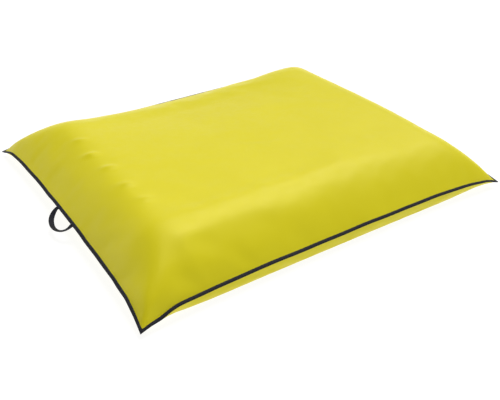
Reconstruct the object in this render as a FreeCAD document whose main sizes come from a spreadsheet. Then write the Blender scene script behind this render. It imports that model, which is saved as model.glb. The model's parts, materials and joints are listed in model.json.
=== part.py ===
"""Floor bean bag: a large flat pillow of two fabric panels, filled with beads.

The two cover panels meet in a flat seam that runs round the bag, low on its
sides. A folded tape binds the seam, one length on each side, and the tapes end
in four pointed tips. Inside the cover lies a liner bag with the bead fill. A
webbing loop for carrying is sewn under the seam of the left short side, and the
zips of cover and liner lie in the flanks below their seams.

Frame: the origin is the centre of the flat underside, X runs along the long
side, Y along the short side and Z up. The carry loop is on the -X side.
Lengths are in millimetres.
"""

import FreeCAD
import Part
import Sketcher
import math
import os

from FreeCAD import Placement, Rotation, Vector

DIMENSIONS = {
    # the outline, measured over the binding
    "bag_length": 1600.0,
    "bag_width": 1376.0,
    "bow_of_long_side": 23.0,
    "bow_of_short_side": 24.0,
    "bow_power": 4.0,
    # the seam's height over the floor, at the tips and along the sides
    "seam_height_tip": 33.0,
    "seam_height_side": 62.0,
    "seam_height_power": 6.0,
    "seam_tilt": 0.3,
    # the shoulders: how far inside each side the filled top reaches its full height
    "shoulder_left": 197.0,
    "shoulder_right": 137.0,
    "shoulder_front": 190.0,
    "shoulder_back": 208.0,
    "shoulder_left_growth": 0.18,
    "shoulder_right_growth": 0.03,
    "shoulder_front_growth": 0.24,
    "shoulder_back_growth": 0.10,
    "shoulder_power": 1.7,
    "shoulder_corner": 3.6,
    # the plateau between the shoulders: its height over the seam, leans and sags
    "plateau_height": 114.9,
    "plateau_lean_right": -2.0,
    "plateau_lean_back": -29.1,
    "plateau_sag_long": 7.7,
    "plateau_sag_short": -20.0,
    "plateau_twist": 2.1,
    "plateau_twist_long": 19.2,
    "plateau_twist_short": -5.0,
    "plateau_sag_both": 15.4,
    "plateau_reach_long": 0.73,
    "plateau_reach_short": 0.62,
    # the flank: the rounded wall between the seam and the floor
    "flank_run": 10.0,
    "flank_run_at_tip": 90.0,
    "flank_tip_power": 8.0,
    # cover, binding, liner and fill
    "cover_ply": 1.0,
    "cover_edge": 1.0,
    "cover_flange": 12.0,
    "binding_ply": 0.9,
    "binding_width": 12.0,
    "liner_ply": 0.6,
    "liner_edge": 17.0,
    "liner_flange": 22.0,
    "liner_floor": 1.5,
    "liner_drop": 5.2,
    "fill_edge": 27.0,
    "fill_floor": 2.6,
    "fill_drop": 8.4,
    # the carry loop
    "loop_centre": -15.0,
    "loop_half_span": 70.0,
    "loop_reach": 44.0,
    "loop_droop": 30.0,
    "loop_width": 20.0,
    "loop_ply": 1.6,
    "loop_roll": 20.0,
    "loop_hinge_gap": 2.6,
    "loop_anchor_length": 13.6,
    "loop_anchor_gap": 0.05,
    "tack_length": 2.4,
    "tack_ply": 0.5,
    # zips: both have the same section and differ in length
    "cover_zip_length": 690.0,
    "liner_zip_length": 400.0,
    "zip_height": 33.0,
    "zip_outset": 0.6,
    "zip_slit": 10.4,
    "zip_tape_width": 12.0,
    "zip_tape_ply": 0.7,
    "zip_tape_depth": 3.6,
    "zip_tape_gap": 0.8,
    "zip_coil_gap": 0.7,
    "zip_coil_width": 2.4,
    "zip_coil_ply": 2.0,
    "zip_stop_length": 3.0,
    # the slider, which the coils run through
    "slider_length": 12.0,
    "slider_width": 8.8,
    "slider_plate": 1.3,
    "slider_lip": 0.9,
    "slider_clearance": 0.4,
    "slider_post_width": 0.7,
    "slider_post_length": 5.0,
    "bridge_length": 6.8,
    "bridge_width": 1.8,
    "bridge_leg": 0.9,
    "bridge_rise": 1.5,
    # the pull tab on the cover's slider
    "pull_length": 32.0,
    "pull_width": 6.4,
    "pull_ply": 1.0,
    "pull_bar": 1.0,
    "pull_eye_length": 4.6,
    "pull_eye_width": 2.6,
    # the blank care label under the rear seam
    "label_place": 500.0,
    "label_width": 30.0,
    "label_drop": 42.0,
    "label_ply": 0.3,
    "label_inset": 8.0,
}

LONG_STATIONS = 37
SHORT_STATIONS = 33
FLANK_STATIONS = 7
LOOP_STATIONS = 19
SEWING_TOLERANCE = 0.001
SIDES = ("front", "right", "back", "left")
LONG_SIDES = ("front", "back")

doc = FreeCAD.newDocument("floor_bean_bag")


def make_sheet():
    """Write every dimension in a cell with an alias, its name beside it."""
    sheet = doc.addObject("Spreadsheet::Sheet", "dim")
    for row, (name, value) in enumerate(DIMENSIONS.items(), start=1):
        sheet.set(f"A{row}", name.replace("_", " "))
        sheet.set(f"B{row}", str(value))
        sheet.setAlias(f"B{row}", name)
    doc.recompute()
    return sheet


sheet = make_sheet()


def dim(name):
    """A dimension's value, read from the sheet."""
    return float(sheet.get(name))


# ---------------------------------------------------------------- the bag's form


def stations(count):
    """Places from -1 to 1 along a side, closer together towards its tips."""
    return [-math.cos(math.pi * i / (count - 1)) for i in range(count)]


def bow(place, depth):
    """How far a side is drawn in at a place: fully in the middle, not at the tips."""
    return depth * (1.0 - abs(place) ** dim("bow_power"))


def seam_height(place_long, place_short=1.0):
    """Height of the seam's outer edge over the floor."""
    tip = dim("seam_height_tip")
    rise = dim("seam_height_side") - tip
    return tip + rise * (1.0 - abs(place_long * place_short) ** dim("seam_height_power"))


def side_point(side, place, inset, height):
    """A point at a distance inside the outline of one side."""
    half_length = dim("bag_length") / 2 - inset
    half_width = dim("bag_width") / 2 - inset
    if side in LONG_SIDES:
        y = half_width - bow(place, dim("bow_of_long_side"))
        return Vector(place * half_length, -y if side == "front" else y, height)
    x = half_length - bow(place, dim("bow_of_short_side"))
    return Vector(-x if side == "left" else x, place * half_width, height)


def rise(distance, reach):
    """Share of the full height at a distance inside a side: 1 from the shoulder on."""
    share = min(1.0, max(0.0, distance / reach))
    return 1.0 - (1.0 - share) ** dim("shoulder_power")


def shoulder(side, place):
    """Reach of the shoulder of a side, which grows from -1 to +1 along that side."""
    return dim("shoulder_" + side) * (1.0 + dim("shoulder_" + side + "_growth") * place)


def crown(u, v, half_length, half_width, drop):
    """Height of the filled top over the seam. u runs along X and v along Y."""
    across = rise((1.0 - abs(u)) * half_length, shoulder("left" if u < 0 else "right", v))
    along = rise((1.0 - abs(v)) * half_width, shoulder("front" if v < 0 else "back", u))
    if min(across, along) <= 0.0:
        return 0.0
    power = dim("shoulder_corner")
    share = (across**-power + along**-power - 1.0) ** (-1.0 / power)
    x = max(-1.0, min(1.0, u / dim("plateau_reach_long")))
    y = max(-1.0, min(1.0, v / dim("plateau_reach_short")))
    height = (
        dim("plateau_height")
        + dim("plateau_lean_right") * x
        + dim("plateau_lean_back") * y
        + dim("plateau_sag_long") * x * x
        + dim("plateau_sag_short") * y * y
        + dim("plateau_twist") * x * y
        + dim("plateau_twist_long") * x * x * y
        + dim("plateau_twist_short") * x * y * y
        + dim("plateau_sag_both") * x * x * y * y
    )
    return share * (height - drop)


def knots(count, degree):
    """Clamped, even knots and their multiplicities."""
    spans = count - degree
    return [degree + 1] + [1] * (spans - 1) + [degree + 1], list(range(spans + 1))


def spline_face(rows):
    """A face whose poles are the rows given: ruled between two, else cubic."""
    degree = 1 if len(rows) == 2 else 3
    mults_across, knots_across = knots(len(rows), degree)
    mults_along, knots_along = knots(len(rows[0]), 3)
    surface = Part.BSplineSurface()
    surface.buildFromPolesMultsKnots(
        rows, mults_across, mults_along, knots_across, knots_along, False, False, degree, 3
    )
    return surface.toShape()


def spline_edge(poles):
    """A cubic edge with the poles given."""
    mults, values = knots(len(poles), 3)
    curve = Part.BSplineCurve()
    curve.buildFromPolesMultsKnots(poles, mults, values, False, 3)
    return curve.toShape()


def side_stations(side):
    return stations(LONG_STATIONS if side in LONG_SIDES else SHORT_STATIONS)


def side_poles(side, row):
    """The poles of one row along a side. A row gives inset and height at a place."""
    return [side_point(side, place, *row(place)) for place in side_stations(side)]


def ring(rows):
    """Four faces, one along each side, mitred where they meet at the tips."""
    return [spline_face([side_poles(side, row) for row in rows]) for side in SIDES]


def flat_face(row):
    """The flat face inside a row that has one height all round."""
    edges = [spline_edge(side_poles(side, row)) for side in SIDES]
    return Part.Face(Part.Wire(Part.__sortEdges__(edges)))


def crown_face(inset, base, drop):
    """The filled top, from its edge at an inset, a base height over the seam."""
    half_length = dim("bag_length") / 2 - inset
    half_width = dim("bag_width") / 2 - inset
    rows = []
    for u in stations(LONG_STATIONS):
        row = []
        for v in stations(SHORT_STATIONS):
            x = u * (half_length - bow(v, dim("bow_of_short_side")))
            y = v * (half_width - bow(u, dim("bow_of_long_side")))
            height = crown(u, v, half_length, half_width, drop)
            row.append(Vector(x, y, seam_height(u, v) + base + height))
        rows.append(row)
    mults_u, knots_u = knots(LONG_STATIONS, 3)
    mults_v, knots_v = knots(SHORT_STATIONS, 3)
    surface = Part.BSplineSurface()
    surface.buildFromPolesMultsKnots(rows, mults_u, mults_v, knots_u, knots_v, False, False, 3, 3)
    return surface.toShape()


def seam_row(inset, lift):
    """A row in the tilted seam plane, a lift over the line where the plies meet."""
    return lambda place: (inset, seam_height(place) + dim("seam_tilt") * inset + lift)


def flank_rows(root, lift, floor):
    """Rows down the flank, from the seam at an inset to the floor."""
    rows = []
    for i in range(FLANK_STATIONS):
        angle = math.pi / 2 * i / (FLANK_STATIONS - 1)
        rows.append(flank_row(root, lift, floor, angle))
    return rows


def flank_row(root, lift, floor, angle):
    """One row of the flank's quarter ellipse: at the seam at 0, at the floor at 90 degrees."""

    def row(place):
        widening = dim("flank_run_at_tip") * abs(place) ** dim("flank_tip_power")
        run = dim("flank_run") + widening
        top = seam_height(place) + dim("seam_tilt") * root + lift
        inset = root + run * (1.0 - math.cos(angle))
        return inset, floor + (top - floor) * (1.0 - math.sin(angle))

    return row


def closed_solid(faces):
    """One solid from faces that meet edge to edge."""
    shell = Part.Shell(faces)
    shell.sewShape()
    solid = Part.Solid(shell)
    if solid.Volume < 0:
        solid.reverse()
    return solid


def top_panel(edge, flange, ply, drop):
    """The upper panel of a bag: a flat flange round a filled crown, one ply thick."""
    root = dim("seam_tilt") * flange
    outside = ring([seam_row(edge, ply), seam_row(flange, ply)])
    outside.append(crown_face(flange, root + ply, drop))
    inner = flange + ply
    inside = ring([seam_row(edge, 0.0), seam_row(inner, 0.0)])
    tilt = dim("seam_tilt")
    inside.append(crown_face(inner, tilt * inner, drop + tilt * ply))
    rim = ring([seam_row(edge, 0.0), seam_row(edge, ply)])
    return closed_solid(outside + inside + rim)


def bottom_panel(edge, flange, ply, floor):
    """The lower panel of a bag: flange, rounded flank and a flat underside."""
    outer_flank = flank_rows(flange, -ply, floor)
    outside = ring([seam_row(edge, -ply), seam_row(flange, -ply)])
    outside += ring(outer_flank)
    outside.append(flat_face(outer_flank[-1]))
    inner = flange + ply
    inner_flank = flank_rows(inner, 0.0, floor + ply)
    inside = ring([seam_row(edge, 0.0), seam_row(inner, 0.0)])
    inside += ring(inner_flank)
    inside.append(flat_face(inner_flank[-1]))
    rim = ring([seam_row(edge, -ply), seam_row(edge, 0.0)])
    return closed_solid(outside + inside + rim)


def bead_fill():
    """The beads as one closed form: crown, flank and flat underside."""
    edge = dim("fill_edge")
    flank = flank_rows(edge, 0.0, dim("fill_floor"))
    faces = [crown_face(edge, dim("seam_tilt") * edge, dim("fill_drop"))]
    faces += ring(flank)
    faces.append(flat_face(flank[-1]))
    return closed_solid(faces)


def binding(side):
    """One length of tape, folded round the seam's edge and mitred at both tips."""
    ply = dim("binding_ply")
    cover = dim("cover_ply")
    width = dim("binding_width")
    corners = [
        (0.0, cover + ply),
        (width, cover + ply),
        (width, cover),
        (ply, cover),
        (ply, -cover),
        (width, -cover),
        (width, -cover - ply),
        (0.0, -cover - ply),
    ]
    rows = [side_poles(side, seam_row(*corner)) for corner in corners]
    faces = [spline_face([rows[i - 1], rows[i]]) for i in range(len(rows))]
    for end in (0, -1):
        outline = [row[end] for row in rows]
        faces.append(Part.Face(Part.makePolygon(outline + outline[:1])))
    return closed_solid(faces)


# ---------------------------------------------------------------- the carry loop


def loop_hinge():
    """The line that the loop swings about, just outside the left seam."""
    inset = -dim("loop_hinge_gap")
    lift = -dim("cover_ply") - dim("binding_ply") - dim("loop_anchor_gap") - dim("loop_ply") / 2
    place = 2 * dim("loop_centre") / dim("bag_width")
    return side_point("left", place, *seam_row(inset, lift)(place))


def carry_loop():
    """A webbing band: flat at both ends, and rolled a little round the middle of its bend."""
    hinge = loop_hinge()
    half = Vector(0, dim("loop_half_span"), 0)
    reach = Vector(-dim("loop_reach"), 0, -dim("loop_droop"))
    corners = [[], [], [], []]
    for i in range(LOOP_STATIONS):
        angle = math.pi * i / (LOOP_STATIONS - 1)
        centre = hinge + half * math.cos(angle) + reach * math.sin(angle)
        along = (reach * math.cos(angle) - half * math.sin(angle)).normalize()
        roll = math.radians(dim("loop_roll")) * math.sin(angle) ** 2
        outward = along.cross(Vector(0, 0, 1)).normalize()
        upward = outward.cross(along).normalize()
        across = outward * math.cos(roll) + upward * math.sin(roll)
        thick = along.cross(across).normalize()
        for corner, (side, face) in zip(corners, ((1, 1), (-1, 1), (-1, -1), (1, -1))):
            offset = across * (side * dim("loop_width") / 2) + thick * (face * dim("loop_ply") / 2)
            corner.append(centre + offset)
    faces = [spline_face([corners[i - 1], corners[i]]) for i in range(4)]
    for end in (0, -1):
        outline = [corner[end] for corner in corners]
        faces.append(Part.Face(Part.makePolygon(outline + outline[:1])))
    return closed_solid(faces)


# ---------------------------------------------------------------- document objects


def feature(label, shape):
    """A sub-part whose curved shape is worked out from the sheet."""
    piece = doc.addObject("Part::Feature", label)
    piece.Shape = shape
    piece.Placement = Placement()
    return piece


def box(label, size, corner):
    """A box whose sizes and corner are expressions on the sheet."""
    piece = doc.addObject("Part::Box", label)
    for name, text in zip(("Length", "Width", "Height"), size):
        piece.setExpression(name, text)
    for axis, text in zip("xyz", corner):
        piece.setExpression(f"Placement.Base.{axis}", text)
    return piece


def fused(label, pieces, placement):
    """One or more boxes as one sub-part, put in its place."""
    piece = doc.addObject("Part::MultiFuse", label)
    piece.Shapes = pieces
    piece.Placement = placement
    return piece


def placed(label, pieces, placement):
    """Separate solids that share one sub-part."""
    piece = doc.addObject("Part::Compound", label)
    piece.Links = pieces
    piece.Placement = placement
    return piece


def zip_place(side, root):
    """The plane of a zip on the flank of one side, outward normal as local Z."""
    top = seam_height(0.0) + dim("seam_tilt") * root
    angle = math.asin(1.0 - dim("zip_height") / top)
    inset = root + dim("flank_run") * (1.0 - math.cos(angle)) - dim("zip_outset")
    origin = side_point(side, 0.0, inset, dim("zip_height"))
    inward_slope = dim("flank_run") * math.sin(angle)
    downward_slope = top * math.cos(angle)
    if side == "back":
        along = Vector(1, 0, 0)
        normal = Vector(0, downward_slope, -inward_slope)
    else:
        along = Vector(0, -1, 0)
        normal = Vector(downward_slope, 0, -inward_slope)
    return Placement(origin, Rotation(along, Vector(), normal.normalize(), "ZXY"))


def zip_parts(owner, placement):
    """Two tapes, two coils and the end stops of one zip. Returns their labels."""
    length = f"dim.{owner}_zip_length"
    tape_low = "-dim.zip_tape_depth"
    coil_low = "-dim.zip_tape_depth + dim.zip_tape_ply"
    for name, tape_corner, coil_corner in (
        ("upper", "-dim.zip_tape_gap - dim.zip_tape_width", "-dim.zip_coil_gap - dim.zip_coil_width"),
        ("lower", "dim.zip_tape_gap", "dim.zip_coil_gap"),
    ):
        tape = box(
            f"{owner}_zip_tape_{name}_strip",
            (length, "dim.zip_tape_width", "dim.zip_tape_ply"),
            (f"-{length} / 2", tape_corner, tape_low),
        )
        placed(f"{owner}_zip_tape_{name}", [tape], placement)
        coil_length = f"{length} - 2 * dim.zip_stop_length"
        coil = box(
            f"{owner}_zip_coil_{name}_strip",
            (coil_length, "dim.zip_coil_width", "dim.zip_coil_ply"),
            (f"-({coil_length}) / 2", coil_corner, coil_low),
        )
        placed(f"{owner}_zip_coil_{name}", [coil], placement)
    stops = []
    stop_width = "2 * (dim.zip_coil_gap + dim.zip_coil_width)"
    stop_size = ("dim.zip_stop_length", stop_width, "dim.zip_coil_ply")
    for name, start in (
        ("first", f"-{length} / 2"),
        ("last", f"{length} / 2 - dim.zip_stop_length"),
    ):
        corner = (start, "-dim.zip_coil_gap - dim.zip_coil_width", coil_low)
        stops.append(box(f"{owner}_zip_stop_{name}", stop_size, corner))
    placed(f"{owner}_zip_stops", stops, placement)
    names = ("tape_upper", "tape_lower", "coil_upper", "coil_lower", "stops")
    return [f"{owner}_zip_{name}" for name in names]


def slider_start(owner):
    """The slider's place along its zip when the zip is closed."""
    travel = dim(f"{owner}_zip_length") - 2 * dim("zip_stop_length") - dim("slider_length")
    return -travel / 2


def zip_slider(owner, placement, with_bridge):
    """Two plates joined by a post between the coils, with lips outside them."""
    label = f"{owner}_zip_slider"
    coil_top = "(-dim.zip_tape_depth + dim.zip_tape_ply + dim.zip_coil_ply)"
    plate_low = f"({coil_top} + dim.slider_clearance)"
    inner_top = "(-dim.zip_tape_depth - dim.slider_clearance)"
    lip_low = "(-dim.zip_tape_depth + dim.zip_tape_ply + dim.slider_clearance)"
    plate = ("dim.slider_length", "dim.slider_width", "dim.slider_plate")
    corner = ("-dim.slider_length / 2", "-dim.slider_width / 2")
    pieces = [
        box(f"{label}_outer_plate", plate, (*corner, plate_low)),
        box(f"{label}_inner_plate", plate, (*corner, f"{inner_top} - dim.slider_plate")),
        box(
            f"{label}_post",
            ("dim.slider_post_length", "dim.slider_post_width", f"{plate_low} - {inner_top}"),
            ("-dim.slider_post_length / 2", "-dim.slider_post_width / 2", inner_top),
        ),
    ]
    for name, start in (
        ("upper", "-dim.slider_width / 2"),
        ("lower", "dim.slider_width / 2 - dim.slider_lip"),
    ):
        pieces.append(
            box(
                f"{label}_lip_{name}",
                ("dim.slider_length", "dim.slider_lip", f"{plate_low} - {lip_low}"),
                ("-dim.slider_length / 2", start, lip_low),
            )
        )
    if with_bridge:
        plate_top = f"({plate_low} + dim.slider_plate)"
        for name, start in (
            ("near", "-dim.bridge_length / 2"),
            ("far", "dim.bridge_length / 2 - dim.bridge_leg"),
        ):
            pieces.append(
                box(
                    f"{label}_bridge_leg_{name}",
                    ("dim.bridge_leg", "dim.bridge_width", "dim.bridge_rise"),
                    (start, "-dim.bridge_width / 2", plate_top),
                )
            )
        pieces.append(
            box(
                f"{label}_bridge_top",
                ("dim.bridge_length", "dim.bridge_width", "dim.bridge_leg"),
                ("-dim.bridge_length / 2", "-dim.bridge_width / 2", f"{plate_top} + dim.bridge_rise"),
            )
        )
    start = Placement(Vector(slider_start(owner), 0, 0), Rotation())
    fused(label, pieces, placement.multiply(start))
    return label


def named_rectangle(sketch, low, high, names):
    """A rectangle whose four sides are held by expressions from the origin."""
    (x0, y0), (x1, y1) = low, high
    corners = [Vector(x0, y0, 0), Vector(x1, y0, 0), Vector(x1, y1, 0), Vector(x0, y1, 0)]
    first = sketch.GeometryCount
    for i in range(4):
        sketch.addGeometry(Part.LineSegment(corners[i], corners[(i + 1) % 4]), False)
    for i in range(4):
        sketch.addConstraint(Sketcher.Constraint("Coincident", first + i, 2, first + (i + 1) % 4, 1))
    for i in (0, 2):
        sketch.addConstraint(Sketcher.Constraint("Horizontal", first + i))
        sketch.addConstraint(Sketcher.Constraint("Vertical", first + i + 1))
    holds = (("DistanceX", first, 1, x0), ("DistanceY", first, 1, y0),
             ("DistanceX", first + 2, 1, x1), ("DistanceY", first + 2, 1, y1))
    for (kind, line, point, value), text in zip(holds, names):
        index = sketch.addConstraint(Sketcher.Constraint(kind, -1, 1, line, point, value))
        sketch.setExpression(f"Constraints[{index}]", text)


def padded_body(label, rectangles, thickness, placement):
    """A body made by padding rectangles in the XY plane."""
    body = doc.addObject("PartDesign::Body", label)
    plane = next(item for item in body.Origin.OriginFeatures if item.Role == "XY_Plane")
    sketch = body.newObject("Sketcher::SketchObject", f"{label}_outline")
    sketch.AttachmentSupport = (plane, [""])
    sketch.MapMode = "FlatFace"
    for low, high, names in rectangles:
        named_rectangle(sketch, low, high, names)
    pad = body.newObject("PartDesign::Pad", f"{label}_pad")
    pad.Profile = sketch
    pad.setExpression("Length", thickness)
    pad.Midplane = True
    body.Placement = placement
    return body


def pull_place(placement):
    """The middle of the bar under the slider's bridge, which the pull turns about."""
    plate_low = -dim("zip_tape_depth") + dim("zip_tape_ply") + dim("zip_coil_ply")
    plate_top = plate_low + dim("slider_clearance") + dim("slider_plate")
    middle = plate_top + dim("bridge_rise") / 2
    return placement.multiply(Placement(Vector(slider_start("cover"), 0, middle), Rotation()))


def zip_pull(placement):
    """A tab with an eye round the slider's bridge. Its end bar lies under the bridge."""
    bar = dim("pull_bar") / 2
    half = dim("pull_width") / 2
    eye = dim("pull_eye_width") / 2
    outline = (
        (-bar, -half),
        (dim("pull_length"), half),
        ("-dim.pull_bar / 2", "-dim.pull_width / 2", "dim.pull_length", "dim.pull_width / 2"),
    )
    opening = (
        (bar, -eye),
        (bar + dim("pull_eye_length"), eye),
        (
            "dim.pull_bar / 2",
            "-dim.pull_eye_width / 2",
            "dim.pull_bar / 2 + dim.pull_eye_length",
            "dim.pull_eye_width / 2",
        ),
    )
    return padded_body("cover_zip_pull", (outline, opening), "dim.pull_ply", pull_place(placement))


def care_label():
    """A blank woven strip that hangs from the rear seam."""
    place = 2 * dim("label_place") / dim("bag_length")
    under_binding = -dim("cover_ply") - dim("binding_ply")
    top = side_point("back", place, *seam_row(dim("label_inset"), under_binding)(place))
    rectangle = (
        (-dim("label_width") / 2, -dim("label_drop")),
        (dim("label_width") / 2, -dim("label_ply")),
        ("-dim.label_width / 2", "-dim.label_drop", "dim.label_width / 2", "-dim.label_ply"),
    )
    upright = Rotation(Vector(1, 0, 0), 90)
    return padded_body("care_label", (rectangle,), "dim.label_ply", Placement(top, upright))


def loop_fixings():
    """The webbing's two sewn ends and the bar tacks that hold them, left of the seam."""
    hinge = loop_hinge()
    tilt = Rotation(Vector(0, 1, 0), -math.degrees(math.atan(dim("seam_tilt"))))
    placement = Placement(Vector(hinge.x, hinge.y, hinge.z), tilt)
    anchors = []
    tacks = []
    for name, sign in (("rear", "+"), ("front", "-")):
        middle = f"({sign}1 * dim.loop_half_span)"
        start = f"{middle} - dim.loop_width / 2"
        anchors.append(
            box(
                f"loop_anchor_{name}",
                ("dim.loop_anchor_length - dim.loop_hinge_gap", "dim.loop_width", "dim.loop_ply"),
                ("dim.loop_hinge_gap / 2", start, "-dim.loop_ply / 2"),
            )
        )
        for row, share in (("outer", "0.2"), ("inner", "0.7")):
            corner = (
                f"{share} * dim.loop_anchor_length",
                f"{start} + 1",
                "-dim.loop_ply / 2 - dim.tack_ply",
            )
            size = ("dim.tack_length", "dim.loop_width - 2", "dim.tack_ply")
            tacks.append(box(f"loop_tack_{name}_{row}", size, corner))
    placed("carry_loop_anchors", anchors, placement)
    placed("carry_loop_bar_tacks", tacks, placement)


def slit_panel(panel, placement, length):
    """Cut the zip's slit through a panel's flank."""
    depth = 4 * dim("zip_tape_depth")
    slit = Part.makeBox(length, dim("zip_slit"), depth)
    slit.Placement = placement.multiply(
        Placement(Vector(-length / 2, -dim("zip_slit") / 2, -depth / 2), Rotation())
    )
    return panel.cut(slit)


def build():
    """Make every sub-part and return their labels."""
    edge, flange, ply = dim("cover_edge"), dim("cover_flange"), dim("cover_ply")
    liner = dim("liner_edge"), dim("liner_flange"), dim("liner_ply")
    cover_zip = zip_place("back", flange)
    liner_zip = zip_place("right", dim("liner_flange"))
    cover_bottom = bottom_panel(edge, flange, ply, 0.0)
    liner_bottom = bottom_panel(*liner, dim("liner_floor"))
    feature("cover_top_panel", top_panel(edge, flange, ply, 0.0))
    feature("cover_bottom_panel", slit_panel(cover_bottom, cover_zip, dim("cover_zip_length")))
    feature("liner_top_panel", top_panel(*liner, dim("liner_drop")))
    feature("liner_bottom_panel", slit_panel(liner_bottom, liner_zip, dim("liner_zip_length")))
    feature("bead_fill", bead_fill())
    feature("carry_loop", carry_loop())
    labels = [
        "cover_top_panel",
        "cover_bottom_panel",
        "liner_top_panel",
        "liner_bottom_panel",
        "bead_fill",
        "carry_loop",
        "carry_loop_anchors",
        "carry_loop_bar_tacks",
        "cover_zip_pull",
        "care_label",
    ]
    for side in SIDES:
        feature(f"binding_{side}", binding(side))
        labels.append(f"binding_{side}")
    labels += zip_parts("cover", cover_zip)
    labels += zip_parts("liner", liner_zip)
    labels.append(zip_slider("cover", cover_zip, True))
    labels.append(zip_slider("liner", liner_zip, False))
    zip_pull(cover_zip)
    care_label()
    loop_fixings()
    return labels


def check_and_export(labels):
    """Stop on any failed object, then write one STEP file for each sub-part."""
    doc.recompute()
    for piece in doc.Objects:
        if "Invalid" in piece.State or "Error" in piece.State:
            raise RuntimeError(f"{piece.Label} failed: {piece.State}")
    os.makedirs("parts", exist_ok=True)
    for label in labels:
        shape = doc.getObject(label).Shape
        if shape.isNull() or not shape.isValid() or shape.Volume <= 0:
            raise RuntimeError(f"{label} has no valid solid")
        shape.exportStep(f"parts/{label}.step")
        box_size = shape.BoundBox
        print(
            f"{label}: {len(shape.Solids)} solid(s), {shape.Volume / 1000:.2f} cm3, "
            f"{box_size.XLength:.1f} x {box_size.YLength:.1f} x {box_size.ZLength:.1f} mm"
        )


check_and_export(build())
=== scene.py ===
"""The looks of the floor bean bag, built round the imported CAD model.

Lengths are in metres, in the CAD model's frame: X along the long side with the
carry loop on the -X side, Y along the short side, Z up from the floor.
"""

import json
import math

import bmesh
import bpy
import numpy as np
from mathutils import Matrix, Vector, noise
from mathutils.bvhtree import BVHTree


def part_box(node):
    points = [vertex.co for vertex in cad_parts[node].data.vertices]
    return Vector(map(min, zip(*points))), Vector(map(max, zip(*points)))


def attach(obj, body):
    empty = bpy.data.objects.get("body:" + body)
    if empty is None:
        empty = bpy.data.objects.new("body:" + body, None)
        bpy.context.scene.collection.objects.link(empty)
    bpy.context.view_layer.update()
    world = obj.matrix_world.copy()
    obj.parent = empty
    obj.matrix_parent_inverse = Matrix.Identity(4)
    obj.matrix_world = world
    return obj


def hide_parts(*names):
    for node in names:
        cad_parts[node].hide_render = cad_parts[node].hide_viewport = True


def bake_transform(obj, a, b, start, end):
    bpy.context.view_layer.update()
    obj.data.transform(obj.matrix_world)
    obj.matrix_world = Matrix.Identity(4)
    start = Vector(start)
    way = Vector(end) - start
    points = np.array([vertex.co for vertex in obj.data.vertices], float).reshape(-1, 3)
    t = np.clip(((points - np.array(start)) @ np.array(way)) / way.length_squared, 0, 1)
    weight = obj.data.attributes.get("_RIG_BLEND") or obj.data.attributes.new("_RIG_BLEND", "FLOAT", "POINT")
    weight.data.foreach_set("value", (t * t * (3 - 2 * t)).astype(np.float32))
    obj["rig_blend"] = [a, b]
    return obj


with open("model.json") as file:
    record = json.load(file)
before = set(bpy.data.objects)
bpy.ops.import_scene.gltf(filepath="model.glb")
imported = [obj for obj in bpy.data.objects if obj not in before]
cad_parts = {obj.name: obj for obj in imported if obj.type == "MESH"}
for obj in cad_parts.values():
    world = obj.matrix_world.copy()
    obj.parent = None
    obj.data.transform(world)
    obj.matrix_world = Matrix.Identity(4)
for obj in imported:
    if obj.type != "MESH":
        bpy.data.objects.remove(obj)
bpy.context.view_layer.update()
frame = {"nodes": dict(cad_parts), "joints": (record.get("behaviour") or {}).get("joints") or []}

# ------ sizes from the frame

MM = 0.001
SIDES = ("front", "right", "back", "left")
LONG_SIDES = ("front", "back")
BINDING_WIDTH = 12 * MM
BINDING_PLY = 0.9 * MM
COVER_PLY = 1.0 * MM
CLOTH = 0.7 * MM
CLOTH_EDGE = 1.5 * MM
BOW_POWER = 4
# how far the flanks draw in from the seam to the floor
FLANK_RUN = 10 * MM
FLANK_TUCK = {"left": 36 * MM}
FLANK_TUCK_POWER = 6
FLANK_RUN_AT_TIP = 90 * MM
FLANK_TIP_POWER = 8
FLANGE_PROBES = (3 * MM, 9 * MM)

FRONT_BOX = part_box("binding_front")
LEFT_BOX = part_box("binding_left")
HALF_LENGTH = FRONT_BOX[1].x
HALF_WIDTH = LEFT_BOX[1].y
BOW_LONG = FRONT_BOX[1].y - FRONT_BOX[0].y - BINDING_WIDTH
BOW_SHORT = LEFT_BOX[1].x - LEFT_BOX[0].x - BINDING_WIDTH

SWING = next(joint for joint in frame["joints"] if joint["name"] == "carry_loop_swing")
LOOP_HINGE = Vector(SWING["pos_m"])


def node_tree(name):
    """A CAD node's faces, ready for rays."""
    mesh = frame["nodes"][name].data
    corners = [v.co.copy() for v in mesh.vertices]
    return BVHTree.FromPolygons(corners, [tuple(p.vertices) for p in mesh.polygons])


TREES = {name: node_tree(name) for name in ("cover_top_panel", "liner_top_panel", "bead_fill")}


def top_height(x, y, node="cover_top_panel"):
    """Height of a CAD node's upper face over a point on the floor."""
    hit = TREES[node].ray_cast(Vector((x, y, 1.0)), Vector((0, 0, -1)))
    return hit[0].z if hit[0] else None


def bow(place, depth):
    """How far a side is drawn in at a place from -1 to 1 along it."""
    return depth * (1 - abs(place) ** BOW_POWER)


def plan(side, place, inset):
    """A point on the floor plan, at an inset inside one side's edge."""
    half_length = HALF_LENGTH - inset
    half_width = HALF_WIDTH - inset
    if side in LONG_SIDES:
        y = half_width - bow(place, BOW_LONG)
        return place * half_length, -y if side == "front" else y
    x = half_length - bow(place, BOW_SHORT)
    return -x if side == "left" else x, place * half_width


def shares(x, y):
    """The plan point as shares of the outline, each from -1 to 1."""
    u, v = x / HALF_LENGTH, y / HALF_WIDTH
    for _ in range(4):
        u = x / (HALF_LENGTH - bow(max(-1, min(1, v)), BOW_SHORT))
        v = y / (HALF_WIDTH - bow(max(-1, min(1, u)), BOW_LONG))
    return u, v


def smoothed(row, rounds):
    """A row of numbers with its small steps taken out. Its ends stay."""
    row = np.array(row, float)
    for _ in range(rounds):
        row[1:-1] = (row[:-2] + 2 * row[1:-1] + row[2:]) / 4
    return row


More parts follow.
